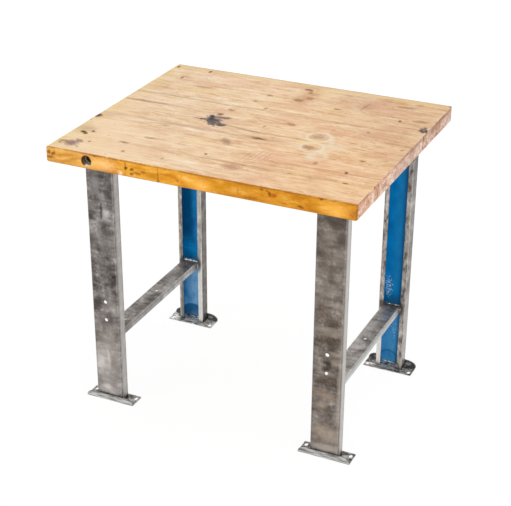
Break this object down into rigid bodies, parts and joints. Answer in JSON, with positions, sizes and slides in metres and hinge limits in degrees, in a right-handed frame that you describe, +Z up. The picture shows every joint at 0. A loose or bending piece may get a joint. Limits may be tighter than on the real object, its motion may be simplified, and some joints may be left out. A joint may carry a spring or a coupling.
{
  "type": "workbench",
  "caption": "Shop workbench with a worn laminated maple top on two welded end frames of lipped steel channel with slotted angle feet and low stretchers.",
  "frame": {"origin": "on the floor under the middle of the top", "axes": "+X right along the front edge, +Y to the back, +Z up"},
  "size_m": [0.914, 0.78, 0.855],
  "materials": {
    "worn_maple": "worn amber varnish, stained and scratched",
    "scoured_leg_steel": "bare steel scoured to a mottled grey outside, blue paint left inside",
    "dark_foot_steel": "bare steel, heat-darkened and scuffed",
    "scoured_channel_steel": "bare scoured steel with dark ends",
    "zinc_fastener": "dull zinc",
    "dark_plug_steel": "dark oxidised steel"
  },
  "bodies": {
    "root": {"top_stave_01": "worn_maple", "top_stave_02": "worn_maple", "top_stave_03": "worn_maple", "top_stave_04": "worn_maple", "top_stave_05": "worn_maple", "top_stave_06": "worn_maple", "top_stave_07": "worn_maple", "top_stave_08": "worn_maple", "top_stave_09": "worn_maple", "top_stave_10": "worn_maple", "top_stave_11": "worn_maple", "top_stave_12": "worn_maple", "top_stave_13": "worn_maple", "top_stave_14": "worn_maple", "top_stave_15": "worn_maple", "top_stave_16": "worn_maple", "top_stave_17": "worn_maple", "top_stave_18": "worn_maple", "top_stave_19": "worn_maple", "top_stave_20": "worn_maple", "flush_steel_plug": "dark_plug_steel", "leg_front_left": "scoured_leg_steel", "foot_front_left": "dark_foot_steel", "leg_rear_left": "scoured_leg_steel", "foot_rear_left": "dark_foot_steel", "lower_stretcher_left": "scoured_channel_steel", "top_rail_left": "scoured_channel_steel", "lag_washer_left_front": "zinc_fastener", "lag_screw_left_front": "zinc_fastener", "lag_washer_left_middle": "zinc_fastener", "lag_screw_left_middle": "zinc_fastener", "lag_washer_left_rear": "zinc_fastener", "lag_screw_left_rear": "zinc_fastener", "leg_front_right": "scoured_leg_steel", "foot_front_right": "dark_foot_steel", "leg_rear_right": "scoured_leg_steel", "foot_rear_right": "dark_foot_steel", "lower_stretcher_right": "scoured_channel_steel", "top_rail_right": "scoured_channel_steel", "lag_washer_right_front": "zinc_fastener", "lag_screw_right_front": "zinc_fastener", "lag_washer_right_middle": "zinc_fastener", "lag_screw_right_middle": "zinc_fastener", "lag_washer_right_rear": "zinc_fastener", "lag_screw_right_rear": "zinc_fastener"}
  },
  "joints": []
}
